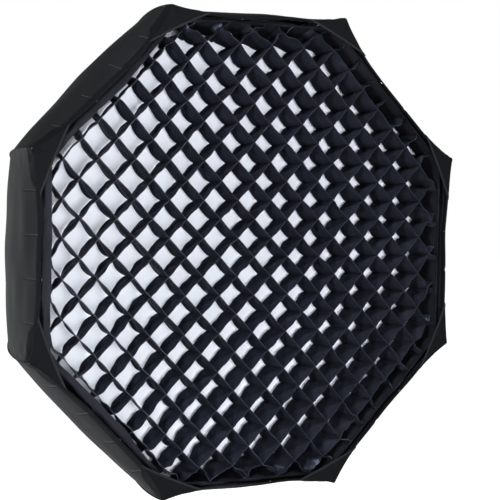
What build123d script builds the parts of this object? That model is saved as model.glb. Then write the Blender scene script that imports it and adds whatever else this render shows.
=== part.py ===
from build123d import *
import math
import os

# Rod-framed octagonal softbox with a recessed lip, a two-layer diffuser and a fabric honeycomb grid.
# Millimetres, +Z up, the box opens towards -Y. The origin is the centre of the bore that the flash
# head passes through, on the plane where the insert seats against the head.

# ---------------------------------------------------------------- driving dimensions
SIDES = 8
STEP = 360 / SIDES
HALF_STEP = STEP / 2

LIP_RADIUS = 475.0          # corner radius of the front opening: 950 mm from corner to corner
LIP_DEPTH = 440.0           # seat plane to the front edge
LIP_SAG = 16.0              # how far each side of the lip is pulled in at its middle
SAG_POWER = 6               # how fast that sag dies out behind the lip
FABRIC = 1.2                # coated fabric with its silver lining
EDGE_GAP = 0.8              # each panel stops this far short of the corner seam
SHELL_START_RADIUS = 112.0  # corner radius of the small rear opening
SHELL_START_DEPTH = 29.0
SHELL_LIP_ANGLE = -3.5      # shell direction at the lip, from the axis; it closes in a little there

BORE_RADIUS = 49.0
SEAT_RADIUS = 73.0
SEAT_THICK = 4.0
HUB_RADIUS = 60.0
HUB_END = 47.5
SPIGOT_RADIUS = 55.0
SPIGOT_LENGTH = 8.0
LUG_RADIUS = 59.0
LUG_REAR = 4.5
LUG_ANGLE = 30.0
LUG_COUNT = 3

RUN_CLEARANCE = 0.05
RING_REAR = 4.4
RING_STEP = 24.0
RING_FRONT = 44.0
RING_REAR_RADIUS = 76.0
RING_FRONT_RADIUS = 96.0
COLLAR_DEPTH = 29.0
COVER_THICK = 2.9
COVER_INNER = 62.0
GROOVE_INNER = 64.5         # annular recess cast into the ring's front
GROOVE_OUTER = 77.5
GROOVE_FLOOR = 28.0
RETAINER_THICK = 3.4
RETAINER_RADIUS = 66.0

SOCKET_RADIUS = 6.0
SOCKET_INNER_END = 79.0
SOCKET_OUTER_END = 112.0
SOCKET_DEPTH = 35.5         # depth of the socket's axis where it leaves the ring

ROD_RADIUS = 2.0
ROD_FIT = 0.15
ROD_TIP_RADIUS = 469.0
ROD_TIP_DEPTH = LIP_DEPTH - 6
ROD_TIP_ANGLE = -3.2
CAP_RADIUS = 3.0
CAP_LENGTH = 16.0
CAP_FIT = 0.25
FERRULE_RADIUS = 2.6
FERRULE_LENGTH = 40.0
LOOP_RADIUS = 3.0
LOOP_PLACES = (0.2, 0.8)    # shares of the rod's bow

GUSSET_LEG = 80.0
GUSSET_THICK = 1.6
PIPING_RADIUS = 1.2
BINDING_WIDTH = 12.0
BINDING_THICK = 0.8
TAPE_THICK = 1.4
TAPE_SPAN = 0.82            # share of each side that a loop tape covers
GRID_TAPE = (53.0, 17.0)    # distances behind the lip
DIFFUSER_TAPE = (104.0, 76.0)

GRID_FRONT = LIP_DEPTH - 14 # the grid sits in the recessed lip
GRID_DEPTH = 50.0
GRID_APOTHEM = 421.0
GRID_BORDER = 1.6
STRIP_THICK = 1.2
SLOT_CLEARANCE = 0.15
CELL_DIAGONAL = 68.0
GRID_SHIFT_X = 32.0         # the lattice is not centred on the box
GRID_SHIFT_Z = -6.5

DIFFUSER_DEPTH = LIP_DEPTH - 78
DIFFUSER_APOTHEM = 422.0
DIFFUSER_THICK = 0.8
HEM_DEPTH = 14.0
HEM_THICK = 1.4

BAFFLE_DEPTH = 190.0
BAFFLE_APOTHEM = 236.0
BAFFLE_HEM = 10.0
STRAP_WIDTH = 14.0
STRAP_THICK = 1.2
STRAP_START = 262.0
STRAP_END = 363.0

KNOB_DEPTH = 14.0
KNOB_ANGLE = 270.0
STUD_RADIUS = 3.0
SHOE_RADIUS = 5.0
SHOE_LENGTH = 6.0
SHOE_GAP = 1.0              # from the shoe to the hub when the knob is slack
KNOB_RADIUS = 7.8
KNOB_START = 84.0
KNOB_LENGTH = 18.0
KNOB_LOBES = 6
LOBE_RADIUS = 1.6

GAP = 0.2                   # between pieces that lie on each other


# ---------------------------------------------------------------- helpers
def point(radius, angle, depth):
    """Point at a radius and angle about the axis, at a depth in front of the seat plane."""
    a = math.radians(angle)
    return Vector(radius * math.cos(a), -depth, radius * math.sin(a))


def direction(angle, tilt=0.0):
    """Unit vector pointing out from the axis, turned towards the front by tilt degrees."""
    a = math.radians(angle)
    t = math.radians(tilt)
    return Vector(math.cos(a) * math.cos(t), -math.sin(t), math.sin(a) * math.cos(t))


def ring(outer, inner, depth_a, depth_b):
    """Flat ring about the axis between two depths."""
    length = abs(depth_b - depth_a)
    plane = Plane(origin=(0, -min(depth_a, depth_b), 0), z_dir=(0, -1, 0))
    body = Cylinder(outer, length, align=(Align.CENTER, Align.CENTER, Align.MIN))
    if inner > 0:
        body -= Cylinder(inner, length, align=(Align.CENTER, Align.CENTER, Align.MIN))
    return plane * body


def rod_between(start, end, radius):
    """Round bar from one point to another."""
    axis = end - start
    plane = Plane(origin=start, z_dir=axis)
    return plane * Cylinder(radius, axis.length, align=(Align.CENTER, Align.CENTER, Align.MIN))


def radial_bar(angle, depth, inner, outer, radius):
    """Round bar pointing straight out from the axis."""
    return rod_between(point(inner, angle, depth), point(outer, angle, depth), radius)


def octagon_plate(apothem, depth_front, thick):
    """Flat octagonal plate with flats left, right, top and bottom."""
    plane = Plane(origin=(0, -depth_front, 0), x_dir=(1, 0, 0), z_dir=(0, 1, 0))
    corner = apothem / math.cos(math.radians(HALF_STEP))
    outline = RegularPolygon(corner, SIDES, rotation=HALF_STEP)
    return extrude(plane * outline, thick)


def octagon_band(apothem, wall, depth_front, length):
    """Octagonal tube wall, outer apothem given."""
    outer = octagon_plate(apothem, depth_front, length)
    return outer - octagon_plate(apothem - wall, depth_front, length)


def prism(plane, outline, height):
    """Straight-sided solid raised from an outline on a plane."""
    return extrude(plane * Polygon(*outline, align=None), height, dir=plane.z_dir)


def save(name, shapes):
    """Write one node: a single solid, or a group of separate solids."""
    found = []
    for shape in shapes:
        found += list(shape.solids())
    body = found[0] if len(found) == 1 else Compound(children=found)
    export_step(body, "parts/" + name + ".step")


def corners():
    return [HALF_STEP + STEP * i for i in range(SIDES)]


def flats():
    return [STEP * i for i in range(SIDES)]


# ---------------------------------------------------------------- bowed profiles
class Bow:
    """Circular arc in a plane through the axis, given by its ends and its direction at the front."""

    def __init__(self, start_radius, start_depth, end_radius, end_depth, end_angle):
        run = end_radius - start_radius
        rise = end_depth - start_depth
        chord = math.degrees(math.atan2(run, rise))
        self.end_angle = end_angle
        self.start_angle = 2 * chord - end_angle
        half_turn = math.radians((self.start_angle - end_angle) / 2)
        self.arc_radius = math.hypot(run, rise) / (2 * math.sin(half_turn))
        last = math.radians(end_angle)
        self.centre_radius = end_radius - self.arc_radius * math.cos(last)
        self.centre_depth = end_depth + self.arc_radius * math.sin(last)

    def at(self, share, inset=0.0):
        """Radius and depth at a share of the arc from its rear end, moved inwards by inset."""
        angle = math.radians(self.start_angle + (self.end_angle - self.start_angle) * share)
        reach = self.arc_radius - inset
        radius = self.centre_radius + reach * math.cos(angle)
        depth = self.centre_depth - reach * math.sin(angle)
        return radius, depth

    def share_at_depth(self, depth):
        angle = math.degrees(math.asin((self.centre_depth - depth) / self.arc_radius))
        return (self.start_angle - angle) / (self.start_angle - self.end_angle)


SHELL = Bow(SHELL_START_RADIUS, SHELL_START_DEPTH, LIP_RADIUS, LIP_DEPTH, SHELL_LIP_ANGLE)
ROD = Bow(SOCKET_OUTER_END, SOCKET_DEPTH + 1.0, ROD_TIP_RADIUS, ROD_TIP_DEPTH, ROD_TIP_ANGLE)
SOCKET_TILT = 90 - ROD.start_angle


def shell_point(angle, across, share, inset):
    """Point on one side of the shell; across runs from -1 to 1 between its two corner seams."""
    radius, depth = SHELL.at(share, inset)
    sag = LIP_SAG * share ** SAG_POWER * (1 - across ** 2)
    out = radius * math.cos(math.radians(HALF_STEP)) - sag
    side = across * (radius * math.sin(math.radians(HALF_STEP)) - EDGE_GAP)
    a = math.radians(angle)
    x = out * math.cos(a) - side * math.sin(a)
    z = out * math.sin(a) + side * math.cos(a)
    return Vector(x, -depth, z)


def shell_patch(angle, share_a, share_b, span, inset, thick):
    """Closed solid lying along one side of the shell, its outer face at the given inset."""
    rows = 9 if share_b - share_a > 0.3 else 4
    columns = 5
    net = []
    for i in range(rows):
        share = share_a + (share_b - share_a) * i / (rows - 1)
        row = []
        for j in range(columns):
            across = span * (2 * j / (columns - 1) - 1)
            row.append(shell_point(angle, across, share, inset))
        net.append(row)
    face = Face.make_surface_from_array_of_points(net)
    outward = direction(angle)
    side = 1 if face.normal_at().dot(outward) < 0 else -1
    return Solid.thicken(face, side * thick)


# ---------------------------------------------------------------- insert that mounts on the flash head
def lug_angles():
    return [90 + 360 / LUG_COUNT * i for i in range(LUG_COUNT)]


def retainer_screw_angles():
    return [45 + 90 * i for i in range(4)]


def mount_ring():
    body = ring(SEAT_RADIUS, BORE_RADIUS, 0, SEAT_THICK)
    body += ring(HUB_RADIUS, BORE_RADIUS, SEAT_THICK, HUB_END)
    body += ring(SPIGOT_RADIUS, BORE_RADIUS, -SPIGOT_LENGTH, 0)
    for angle in lug_angles():
        body -= radial_bar(angle, -6.2, BORE_RADIUS - 5, SPIGOT_RADIUS + 5, 1.55)
    for angle in retainer_screw_angles():
        body -= rod_between(point(55, angle, HUB_END - 10), point(55, angle, HUB_END + 1), 1.6)
    return body


def bayonet_lug(angle):
    lug = ring(LUG_RADIUS, SPIGOT_RADIUS + 0.1, -LUG_REAR, -SPIGOT_LENGTH)
    sector = Plane(origin=(0, SPIGOT_LENGTH + 1, 0), x_dir=direction(angle), z_dir=(0, -1, 0))
    half = LUG_RADIUS * math.tan(math.radians(LUG_ANGLE / 2)) * 1.2
    lug = lug & prism(sector, [(0, 0), (LUG_RADIUS * 1.2, -half), (LUG_RADIUS * 1.2, half)], SPIGOT_LENGTH)
    return lug - radial_bar(angle, -6.2, BORE_RADIUS, LUG_RADIUS + 5, 1.55)


def lug_rivet(angle):
    return radial_bar(angle, -6.2, BORE_RADIUS + 0.4, LUG_RADIUS - 0.3, 1.5)


def retainer_ring():
    body = ring(RETAINER_RADIUS, BORE_RADIUS + 1, HUB_END + 0.1, HUB_END + 0.1 + RETAINER_THICK)
    for angle in retainer_screw_angles():
        body -= rod_between(point(55, angle, HUB_END), point(55, angle, HUB_END + 9), 1.6)
    return body


def retainer_screw(angle):
    face = HUB_END + 0.1 + RETAINER_THICK
    shank = rod_between(point(55, angle, HUB_END - 8), point(55, angle, face + 0.05), 1.5)
    head = rod_between(point(55, angle, face + 0.05), point(55, angle, face + 1.9), 2.9)
    slot = Plane(origin=point(55, angle, face + 1.9), z_dir=(0, -1, 0)) * Box(7, 0.8, 1.2)
    return shank + head - slot


# ---------------------------------------------------------------- speedring
def cover_screw_angles():
    return flats()


def socket_axis(angle, reach):
    """Point on a rod socket's axis; reach is the distance out from where it leaves the ring."""
    radius = SOCKET_OUTER_END - reach * math.cos(math.radians(SOCKET_TILT))
    depth = SOCKET_DEPTH + 1.0 - reach * math.sin(math.radians(SOCKET_TILT))
    return point(radius, angle, depth)


def socket_length():
    return SOCKET_OUTER_END - SOCKET_INNER_END


def speedring_body():
    inner = HUB_RADIUS + RUN_CLEARANCE
    body = ring(RING_REAR_RADIUS, inner, RING_REAR, RING_STEP)
    body += ring(RING_FRONT_RADIUS, inner, RING_STEP, RING_FRONT)
    body -= ring(GROOVE_OUTER, GROOVE_INNER, GROOVE_FLOOR, RING_FRONT + 1)
    for angle in corners():
        body -= rod_between(socket_axis(angle, socket_length() + 0.1), socket_axis(angle, 0), SOCKET_RADIUS + 0.02)
        body -= rod_between(point(88, angle, RING_STEP - 1), point(88, angle, SOCKET_DEPTH), 1.6)
    for angle in cover_screw_angles():
        body -= rod_between(point(82, angle, RING_FRONT - 10), point(82, angle, RING_FRONT + 1), 2.0)
    body -= radial_bar(KNOB_ANGLE, KNOB_DEPTH, HUB_RADIUS - 4, HUB_RADIUS + 9, SHOE_RADIUS + RUN_CLEARANCE)
    body -= radial_bar(KNOB_ANGLE, KNOB_DEPTH, HUB_RADIUS, RING_REAR_RADIUS + 5, STUD_RADIUS + RUN_CLEARANCE)
    return body


def rod_socket(angle):
    outer = rod_between(socket_axis(angle, socket_length()), socket_axis(angle, 0), SOCKET_RADIUS)
    hole = rod_between(socket_axis(angle, socket_length() - 3), socket_axis(angle, -1), ROD_RADIUS + ROD_FIT)
    return outer - hole


def socket_screw(angle):
    shank = rod_between(point(88, angle, RING_STEP - 0.1), point(88, angle, SOCKET_DEPTH - SOCKET_RADIUS - 0.9), 1.5)
    head = rod_between(point(88, angle, RING_STEP - 1.9), point(88, angle, RING_STEP - 0.1), 2.8)
    slot = Plane(origin=point(88, angle, RING_STEP - 1.9), z_dir=(0, -1, 0)) * Box(7, 0.8, 1.2)
    return shank + head - slot


def speedring_cover():
    body = ring(RING_FRONT_RADIUS, COVER_INNER, RING_FRONT + 0.1, RING_FRONT + COVER_THICK)
    for angle in cover_screw_angles():
        body -= rod_between(point(82, angle, RING_FRONT - 1), point(82, angle, RING_FRONT + 9), 2.0)
    return body


def cover_screw(angle):
    face = RING_FRONT + COVER_THICK
    shank = rod_between(point(82, angle, RING_FRONT - 8), point(82, angle, face + 0.05), 1.9)
    head = rod_between(point(82, angle, face + 0.05), point(82, angle, face + 2.1), 3.5)
    slot = Plane(origin=point(82, angle, face + 2.1), z_dir=(0, -1, 0)) * Box(8, 0.9, 1.3)
    return shank + head - slot


# ---------------------------------------------------------------- clamp knob and its friction shoe
def friction_shoe():
    start = HUB_RADIUS + SHOE_GAP
    body = radial_bar(KNOB_ANGLE, KNOB_DEPTH, start, start + SHOE_LENGTH, SHOE_RADIUS)
    return body - radial_bar(KNOB_ANGLE, KNOB_DEPTH, start + 3, start + SHOE_LENGTH + 1, 2.05)


def lock_stud():
    start = HUB_RADIUS + SHOE_GAP + SHOE_LENGTH
    body = radial_bar(KNOB_ANGLE, KNOB_DEPTH, start + 0.1, KNOB_START + 12, STUD_RADIUS)
    return body + radial_bar(KNOB_ANGLE, KNOB_DEPTH, start - 2.8, start + 0.1, 2.0)


def lock_knob():
    body = radial_bar(KNOB_ANGLE, KNOB_DEPTH, KNOB_START, KNOB_START + KNOB_LENGTH, KNOB_RADIUS)
    body += radial_bar(KNOB_ANGLE, KNOB_DEPTH, KNOB_START - 4, KNOB_START, 5.5)
    for i in range(KNOB_LOBES):
        a = math.radians(60 * i)
        dx = KNOB_RADIUS * math.cos(a)
        dy = KNOB_RADIUS * math.sin(a)
        start = Vector(dx, -KNOB_DEPTH + dy, -KNOB_START)
        end = Vector(dx, -KNOB_DEPTH + dy, -KNOB_START - KNOB_LENGTH)
        body += rod_between(start, end, LOBE_RADIUS)
    return body - radial_bar(KNOB_ANGLE, KNOB_DEPTH, KNOB_START - 5, KNOB_START + 12, STUD_RADIUS + 0.02)


# ---------------------------------------------------------------- spring rods
def bow_path(bow, angle, share_a, share_b, inset=0.0):
    points = []
    for share in (share_a, (share_a + share_b) / 2, share_b):
        radius, depth = bow.at(share, inset)
        points.append(point(radius, angle, depth))
    return Edge.make_three_point_arc(*points)


def bow_bar(bow, angle, share_a, share_b, outer, inner=0.0):
    """Round bar or tube along part of a bow."""
    path = bow_path(bow, angle, share_a, share_b)
    plane = Plane(origin=path @ 0, z_dir=path % 0)
    body = sweep(plane * Circle(outer), path=path)
    if inner > 0:
        body -= sweep(plane * Circle(inner), path=path)
    return body


def rod(angle):
    straight = rod_between(socket_axis(angle, socket_length() - 4), socket_axis(angle, 0), ROD_RADIUS)
    return straight + bow_bar(ROD, angle, 0, 1, ROD_RADIUS)


def arc_share(bow, length):
    """Share of a bow that a length along it takes."""
    turn = math.radians(bow.start_angle - bow.end_angle)
    return length / (bow.arc_radius * turn)


def rod_cap(angle):
    """Straight nylon cup over the end of a rod."""
    radius, depth = ROD.at(1 - arc_share(ROD, CAP_LENGTH - 4))
    start = point(radius, angle, depth)
    radius, depth = ROD.at(1)
    tip = point(radius, angle, depth)
    along = (tip - start).normalized()
    cup = rod_between(start, tip + along * 4, CAP_RADIUS)
    return cup - rod_between(start - along, tip + along * 0.3, ROD_RADIUS + CAP_FIT)


def rod_ferrule(angle):
    middle = 0.5
    half = arc_share(ROD, FERRULE_LENGTH) / 2
    return bow_bar(ROD, angle, middle - half, middle + half, FERRULE_RADIUS, ROD_RADIUS + 0.02)


def rod_loop(angle, share):
    """Fabric loop that holds a rod to the corner seam."""
    half = arc_share(ROD, 20) / 2
    return bow_bar(ROD, angle, share - half, share + half, LOOP_RADIUS, ROD_RADIUS + 0.2)


# ---------------------------------------------------------------- fabric shell
def shell_gore(angle):
    return shell_patch(angle, 0, 1, 1, 0, FABRIC)


def seam_piping(angle):
    path = bow_path(SHELL, angle, 0.005, 0.99, -PIPING_RADIUS - 0.3)
    plane = Plane(origin=path @ 0, z_dir=path % 0)
    return sweep(plane * Circle(PIPING_RADIUS), path=path)


def gusset_leg(flat, end):
    """Points along the lip from a corner, on the side that faces the flat angle."""
    reach = GUSSET_LEG / (LIP_RADIUS * math.sin(math.radians(HALF_STEP)))
    return [shell_point(flat, end * (1 - reach * share), 1, -1) for share in (0.1, 0.4, 0.7, 1.0)]


def corner_gusset(angle):
    """Flat triangular pocket across one corner of the lip, with blunt tips."""
    plane = Plane(origin=(0, -LIP_DEPTH - GAP, 0), x_dir=(1, 0, 0), z_dir=(0, -1, 0))
    blunt = 0.93
    apex = point(LIP_RADIUS + 1, angle, LIP_DEPTH)
    before = gusset_leg(angle - HALF_STEP, 1)
    after = gusset_leg(angle + HALF_STEP, -1)
    inward = direction(angle) * -4
    inner = [apex + (leg[-1] - apex) * blunt + inward for leg in (before, after)]
    outline = [apex] + before + inner + after[::-1]
    flat = [(p.X, p.Z) for p in outline]
    return prism(plane, flat, GUSSET_THICK)


def lip_share(depth):
    return SHELL.share_at_depth(depth)


def lip_binding(angle):
    return shell_patch(angle, lip_share(LIP_DEPTH - BINDING_WIDTH), 1, 0.985, -BINDING_THICK - 0.3, BINDING_THICK)


def loop_tape(angle, far, near):
    rear = lip_share(LIP_DEPTH - far)
    front = lip_share(LIP_DEPTH - near)
    return shell_patch(angle, rear, front, TAPE_SPAN, FABRIC + GAP, TAPE_THICK)


def grid_loop_tape(angle):
    return loop_tape(angle, *GRID_TAPE)


def diffuser_loop_tape(angle):
    return loop_tape(angle, *DIFFUSER_TAPE)


def rear_collar():
    inner = RING_FRONT_RADIUS + 0.3
    outer = SHELL_START_RADIUS * math.cos(math.radians(HALF_STEP)) - 0.4
    sleeve = ring(inner + 1.2, inner, RING_STEP + 0.4, COLLAR_DEPTH)
    flange = ring(outer, inner, COLLAR_DEPTH - 1.2, COLLAR_DEPTH)
    return sleeve + flange


def collar_strap():
    inner = RING_FRONT_RADIUS + 1.7
    body = ring(inner + 1.5, inner, RING_STEP + 0.5, COLLAR_DEPTH - 1.4)
    tab = Pos(0, -RING_STEP - 1.8, inner + 2.1) * Box(34, 2.4, 1.4)
    return body + tab


# ---------------------------------------------------------------- honeycomb grid
def strip_places(first):
    """Places of parallel strips across the grid."""
    pitch = CELL_DIAGONAL / math.sqrt(2)
    reach = GRID_APOTHEM - GRID_BORDER - 8
    low = math.ceil((-reach - first) / pitch)
    high = math.floor((reach - first) / pitch)
    return [first + pitch * i for i in range(low, high + 1)]


def rising_places():
    return strip_places((GRID_SHIFT_Z - GRID_SHIFT_X - CELL_DIAGONAL / 2) / math.sqrt(2))


def falling_places():
    return strip_places((GRID_SHIFT_Z + GRID_SHIFT_X - CELL_DIAGONAL / 2) / math.sqrt(2))


def half_chord(place):
    apothem = GRID_APOTHEM - GRID_BORDER - 1.5
    return min(apothem, apothem * math.sqrt(2) - abs(place))


def comb(half, crossings, slots_in_front):
    """Outline of one strip with half-depth slots, as length and depth."""
    front = GRID_FRONT
    rear = GRID_FRONT - GRID_DEPTH
    middle = (front + rear) / 2
    cut = STRIP_THICK / 2 + SLOT_CLEARANCE
    edge = front if slots_in_front else rear
    floor = middle - SLOT_CLEARANCE if slots_in_front else middle + SLOT_CLEARANCE
    outline = [(-half, edge)]
    for place in sorted(crossings):
        outline += [(place - cut, edge), (place - cut, floor), (place + cut, floor), (place + cut, edge)]
    other = rear if slots_in_front else front
    return outline + [(half, edge), (half, other), (-half, other)]


def grid_strip(place, others, turn, slots_in_front):
    """One strip; turn is the direction that it runs in, in degrees from +X."""
    half = half_chord(place)
    crossings = [p for p in others if abs(p) < half - 2]
    run = direction(turn)
    across = direction(turn + 90)
    plane = Plane(origin=across * (place - STRIP_THICK / 2), x_dir=run, z_dir=across)
    outline = comb(half, crossings, slots_in_front)
    flip = plane.y_dir.Y
    flat = [(along, -depth * flip) for along, depth in outline]
    return prism(plane, flat, STRIP_THICK)


def rising_strips():
    return [grid_strip(p, falling_places(), 45, True) for p in rising_places()]


def falling_strips():
    # a falling strip runs down to the right, against the way that the rising places count
    crossings = [-p for p in rising_places()]
    return [grid_strip(p, crossings, -45, False) for p in falling_places()]


def grid_border():
    return octagon_band(GRID_APOTHEM, GRID_BORDER, GRID_FRONT, GRID_DEPTH)


def grid_hook_tape(angle):
    out = direction(angle)
    middle = Vector(0, -LIP_DEPTH + sum(GRID_TAPE) / 2, 0)
    plane = Plane(origin=out * (GRID_APOTHEM + 0.1) + middle, x_dir=direction(angle + 90), z_dir=out)
    return plane * Box(150, 30, 1.2, align=(Align.CENTER, Align.CENTER, Align.MIN))


# ---------------------------------------------------------------- diffusers
def front_diffuser():
    return octagon_plate(DIFFUSER_APOTHEM - HEM_THICK - GAP, DIFFUSER_DEPTH, DIFFUSER_THICK)


def diffuser_hem():
    return octagon_band(DIFFUSER_APOTHEM, HEM_THICK, DIFFUSER_DEPTH + 1, HEM_DEPTH)


def inner_baffle():
    return octagon_plate(BAFFLE_APOTHEM, BAFFLE_DEPTH, DIFFUSER_THICK)


def baffle_hem():
    return octagon_band(BAFFLE_APOTHEM, BAFFLE_HEM, BAFFLE_DEPTH + 0.2 + 1.0, 1.0)


def baffle_strap(angle):
    start = point(STRAP_START, angle, BAFFLE_DEPTH)
    plane = Plane(origin=start, x_dir=direction(angle), z_dir=(0, -1, 0))
    return plane * Box(STRAP_END - STRAP_START, STRAP_WIDTH, STRAP_THICK, align=(Align.MIN, Align.CENTER, Align.MIN))


def baffle_tab(angle):
    """Sewn tab between a baffle corner and its strap."""
    inner = BAFFLE_APOTHEM / math.cos(math.radians(HALF_STEP)) - 22
    start = point(inner, angle, BAFFLE_DEPTH - DIFFUSER_THICK - 0.1)
    plane = Plane(origin=start, x_dir=direction(angle), z_dir=(0, 1, 0))
    length = STRAP_START + 14 - inner
    return plane * Box(length, STRAP_WIDTH + 4, 1.2, align=(Align.MIN, Align.CENTER, Align.MIN))


def baffle_hook(angle):
    """Wire hook at the end of an elastic strap."""
    start = point(STRAP_END + 0.2, angle, BAFFLE_DEPTH + STRAP_THICK / 2)
    plane = Plane(origin=start, x_dir=direction(angle), z_dir=(0, -1, 0))
    plate = plane * Box(3, STRAP_WIDTH + 3, 3, align=(Align.MIN, Align.CENTER, Align.CENTER))
    shank = rod_between(start + direction(angle) * 3, start + direction(angle) * 13, 1.2)
    bend = Plane(origin=start + direction(angle) * 16, x_dir=direction(angle), z_dir=direction(angle + 90))
    return plate + shank + bend * Torus(3, 1.2)


def strap_ring(angle):
    """Ring sewn to the corner seam, which a strap hooks into."""
    centre = point(STRAP_END + 0.2 + 16 + 5.2, angle, BAFFLE_DEPTH + STRAP_THICK / 2)
    plane = Plane(origin=centre, x_dir=direction(angle), z_dir=(0, -1, 0))
    return plane * Torus(5.2, 1.0)


# ---------------------------------------------------------------- build every node
def build_mount():
    save("mount_ring", [mount_ring()])
    save("bayonet_lugs", [bayonet_lug(a) for a in lug_angles()])
    save("lug_rivets", [lug_rivet(a) for a in lug_angles()])
    save("retainer_ring", [retainer_ring()])
    save("retainer_screws", [retainer_screw(a) for a in retainer_screw_angles()])


def build_speedring():
    save("speedring_body", [speedring_body()])
    save("speedring_cover", [speedring_cover()])
    save("cover_screws", [cover_screw(a) for a in cover_screw_angles()])
    save("rod_sockets", [rod_socket(a) for a in corners()])
    save("socket_screws", [socket_screw(a) for a in corners()])
    save("lock_knob", [lock_knob()])
    save("lock_stud", [lock_stud()])
    save("friction_shoe", [friction_shoe()])


def build_rods():
    for i, angle in enumerate(corners()):
        save("spring_rod_" + str(i + 1), [rod(angle)])
    save("rod_tip_caps", [rod_cap(a) for a in corners()])
    save("rod_ferrules", [rod_ferrule(a) for a in corners()])
    save("rod_loops", [rod_loop(a, share) for a in corners() for share in LOOP_PLACES])


def build_shell():
    for i, angle in enumerate(flats()):
        save("shell_panel_" + str(i + 1), [shell_gore(angle)])
    for i, angle in enumerate(corners()):
        save("corner_gusset_" + str(i + 1), [corner_gusset(angle)])
    save("seam_piping", [seam_piping(a) for a in corners()])
    save("lip_binding", [lip_binding(a) for a in flats()])
    save("grid_loop_tape", [grid_loop_tape(a) for a in flats()])
    save("diffuser_loop_tape", [diffuser_loop_tape(a) for a in flats()])
    save("rear_collar", [rear_collar()])
    save("collar_strap", [collar_strap()])


def build_grid():
    save("grid_border", [grid_border()])
    save("grid_hook_tape", [grid_hook_tape(a) for a in flats()])
    save("grid_strips_rising", rising_strips())
    save("grid_strips_falling", falling_strips())


def build_diffusers():
    save("front_diffuser", [front_diffuser()])
    save("diffuser_hem", [diffuser_hem()])
    save("inner_baffle", [inner_baffle()])
    save("baffle_hem", [baffle_hem()])
    save("baffle_tabs", [baffle_tab(a) for a in corners()])
    save("baffle_straps", [baffle_strap(a) for a in corners()])
    save("baffle_hooks", [baffle_hook(a) for a in corners()])
    save("strap_rings", [strap_ring(a) for a in corners()])


os.makedirs("parts", exist_ok=True)
build_mount()
build_speedring()
build_rods()
build_shell()
build_grid()
build_diffusers()
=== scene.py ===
import math
import random

import bpy
from mathutils import Matrix, Vector, noise


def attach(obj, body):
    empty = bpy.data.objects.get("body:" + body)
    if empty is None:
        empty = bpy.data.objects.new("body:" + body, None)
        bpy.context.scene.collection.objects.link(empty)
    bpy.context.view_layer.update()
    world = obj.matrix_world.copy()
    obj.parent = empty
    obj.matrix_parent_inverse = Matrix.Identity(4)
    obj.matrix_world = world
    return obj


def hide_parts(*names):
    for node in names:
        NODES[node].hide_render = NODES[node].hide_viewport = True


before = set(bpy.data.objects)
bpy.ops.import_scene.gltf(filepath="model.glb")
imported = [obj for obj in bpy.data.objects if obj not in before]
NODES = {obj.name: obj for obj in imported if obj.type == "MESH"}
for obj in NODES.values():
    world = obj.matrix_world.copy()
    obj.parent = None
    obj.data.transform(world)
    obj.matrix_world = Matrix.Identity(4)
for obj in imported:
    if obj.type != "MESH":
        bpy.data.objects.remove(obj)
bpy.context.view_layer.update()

# ---------------------------------------------------------------- driving sizes, in metres
SIDES = 8
STEP = 360 / SIDES
HALF_STEP = STEP / 2
HALF_COS = math.cos(math.radians(HALF_STEP))
HALF_SIN = math.sin(math.radians(HALF_STEP))

LIP_RADIUS = 0.475  # to a corner
LIP_DEPTH = 0.440
LIP_HALF_SIDE = LIP_RADIUS * HALF_SIN
LIP_FACING = 0.078  # black cloth inside the lip, in front of the silver lining
FABRIC = 0.0012
SHELL_START = (0.112, 0.029)  # radius and depth of the shell's rear end
SHELL_LIP_ANGLE = -3.5  # degrees by which the shell closes in at the lip
EDGE_GAP = 0.0008  # between a panel and its corner seam
LIP_SAG = (0.009, 0.018, 0.010, 0.021, 0.018, 0.019, 0.015, 0.015)  # side by side from +X towards +Z
SAG_POWER = 14  # how fast the sag fades behind the lip
SAG_ROUNDNESS = 3.5
PANEL_BULGE = 0.009
BULGE_BACK = 0.13  # where the panels bulge most, behind the lip
BULGE_REACH = 0.075
STITCH_PLACES = (-0.62, -0.2, 0.22, 0.64)  # across a side, from -1 to 1
STITCH_DEPTH = 0.046  # how far back from the lip they run
CREASE_STEPS = (-0.004, -0.0022, -0.0009, 0.0, 0.0009, 0.0022, 0.004)
PANEL_ROWS = 110
PANEL_COLUMNS = 91
SIDE_COLUMNS = 61  # of the tapes along one side
STITCHES = 10  # in each row

GUSSET_LEG = 0.080
GUSSET_DEPTH = LIP_DEPTH + 0.0004
FLAP_WIDTH = 0.020
TAPE_THICK = 0.0014
TRIM_THICK = 0.0007

GRID_FRONT = LIP_DEPTH - 0.014
GRID_DEPTH = 0.050
GRID_APOTHEM = 0.421
GRID_INNER = 0.4179  # apothem of the octagon that the strips end at
CELL_DIAGONAL = 0.068
CELL_SIDE = 0.048
GRID_SHIFT_X = 0.032
GRID_SHIFT_Z = -0.0065
RISING = 45
FALLING = -45
STRIP_THICK = 0.0011
STRIP_HEM_THICK = 0.0016
STRIP_END_GAP = 0.0096  # between the outermost strip and the border
CELL_STEPS = 12  # points along one wall
STRIP_LEVELS = 9  # points across a strip, front to rear
BAND_THICK = 0.0010
BAND_LEVELS = 13
BAND_HEM_LEVELS = 5

DIFFUSER_DEPTH = LIP_DEPTH - 0.078
DIFFUSER_APOTHEM = 0.4204
BAFFLE_DEPTH = 0.190
BAFFLE_APOTHEM = 0.236
DIFFUSER_THICK = 0.0006
DIFFUSER_RINGS = 48
DIFFUSER_SPOKES = SIDES * 24

FLOOR_LEVEL = -1.3
FLOOR_REACH = 14.0

# ---------------------------------------------------------------- camera
CAMERA_YAW = 30.03  # degrees, to the left of the light axis
CAMERA_PITCH = 3.475
CAMERA_ROLL = 1.25
CAMERA_DISTANCE = 2.7446
CAMERA_LENS = 108.0  # millimetres, on a 36 mm sensor
CAMERA_SHIFT = (-0.01305, 0.00757)


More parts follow.
